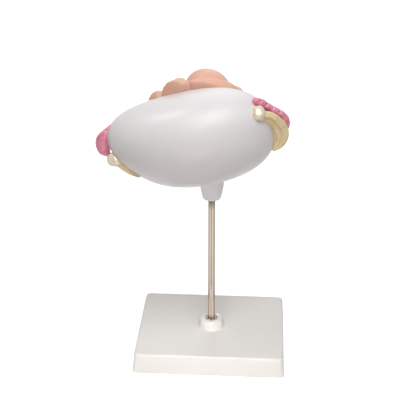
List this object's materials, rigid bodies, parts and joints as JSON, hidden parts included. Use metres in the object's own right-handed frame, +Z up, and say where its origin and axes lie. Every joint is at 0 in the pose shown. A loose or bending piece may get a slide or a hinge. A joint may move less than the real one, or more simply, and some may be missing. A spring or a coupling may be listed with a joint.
{
  "type": "fetus model",
  "caption": "Classroom model of a curled fetus lying across an open womb shell, with tubes, ovaries and ligaments, on a rod and a flat base.",
  "frame": {"origin": "centre of the base's flat underside, on the rod's axis", "axes": "+Z up along the rod, +Y out of the womb's open side, +X towards the womb's raised end, where the fetus's head lies"},
  "size_m": [0.1603, 0.1064, 0.2453],
  "materials": {
    "moulding": "satin white moulding",
    "underside": "matt white plate",
    "steel": "bright nickel plate",
    "screw_steel": "bright zinc plate",
    "ballast": "raw dark steel",
    "brass": "turned brass",
    "lining": "satin pink red",
    "placenta": "satin dark red",
    "cord": "gloss pale pink and blue",
    "tube": "gloss hand-painted pink",
    "ovary": "gloss cream",
    "ligament": "gloss yellow cream",
    "skin": "satin peach"
  },
  "bodies": {
    "base": {"base_cover": "moulding", "base_plate": "underside", "ballast_plate": "ballast", "base_screw_1": "screw_steel", "base_screw_2": "screw_steel", "base_screw_3": "screw_steel", "base_screw_4": "screw_steel", "rod_grip": "moulding"},
    "rod": {"support_rod": "steel"},
    "womb": {"womb_shell": "moulding", "womb_lining": "lining", "rod_bush": "brass", "placenta": "placenta", "right_tube": "tube", "left_tube": "tube", "right_ovary": "ovary", "left_ovary": "ovary", "right_ligament": "ligament", "left_ligament": "ligament"},
    "fetus": {"fetus": "skin", "umbilical_cord": "cord"}
  },
  "joints": [
    {"name": "rod_lift", "type": "slide", "parent": "base", "child": "rod", "axis": [0, 0, 1], "range_m": [0, 0.03]},
    {"name": "womb_turn", "type": "hinge", "parent": "rod", "child": "womb", "pos_m": [0, 0, 0.15], "axis": [0, 0, 1], "continuous": true},
    {"name": "fetus_out", "type": "slide", "parent": "womb", "child": "fetus", "axis": [0.1225, 0.9531, 0.2767], "range_m": [0, 0.09]}
  ]
}
